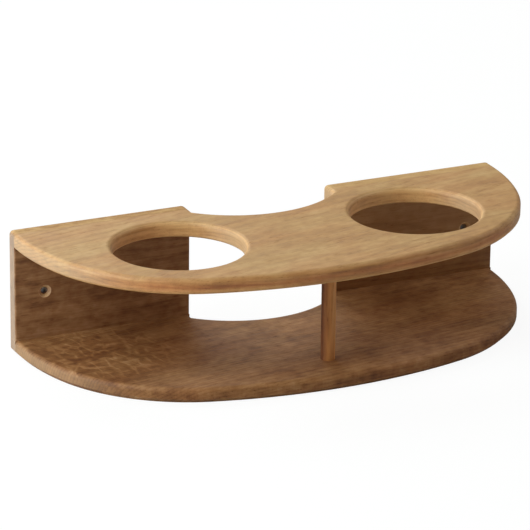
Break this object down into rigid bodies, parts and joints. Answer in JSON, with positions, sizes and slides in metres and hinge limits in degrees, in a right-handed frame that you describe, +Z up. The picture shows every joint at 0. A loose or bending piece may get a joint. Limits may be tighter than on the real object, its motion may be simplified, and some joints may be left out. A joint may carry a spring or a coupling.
{
  "type": "wall glass holder",
  "caption": "Wooden wall shelf that holds tumblers: a holed upper deck steadies glasses that stand on a lower deck of the same curved outline.",
  "frame": {"origin": "on the wall plane, midway between the two wall screw holes", "axes": "+X along the wall to the viewer's right, +Y into the wall, +Z up; the decks reach out towards -Y"},
  "size_m": [0.33, 0.138, 0.08],
  "materials": {
    "deck_wood": "oiled, satin",
    "panel_wood": "oiled, satin",
    "post_wood": "oiled, satin",
    "dowel_wood": "plain, dry"
  },
  "bodies": {
    "root": {"top_deck": "deck_wood", "bottom_deck": "deck_wood", "left_back_panel": "panel_wood", "right_back_panel": "panel_wood", "front_post": "post_wood", "joint_dowels": "dowel_wood"}
  },
  "joints": []
}
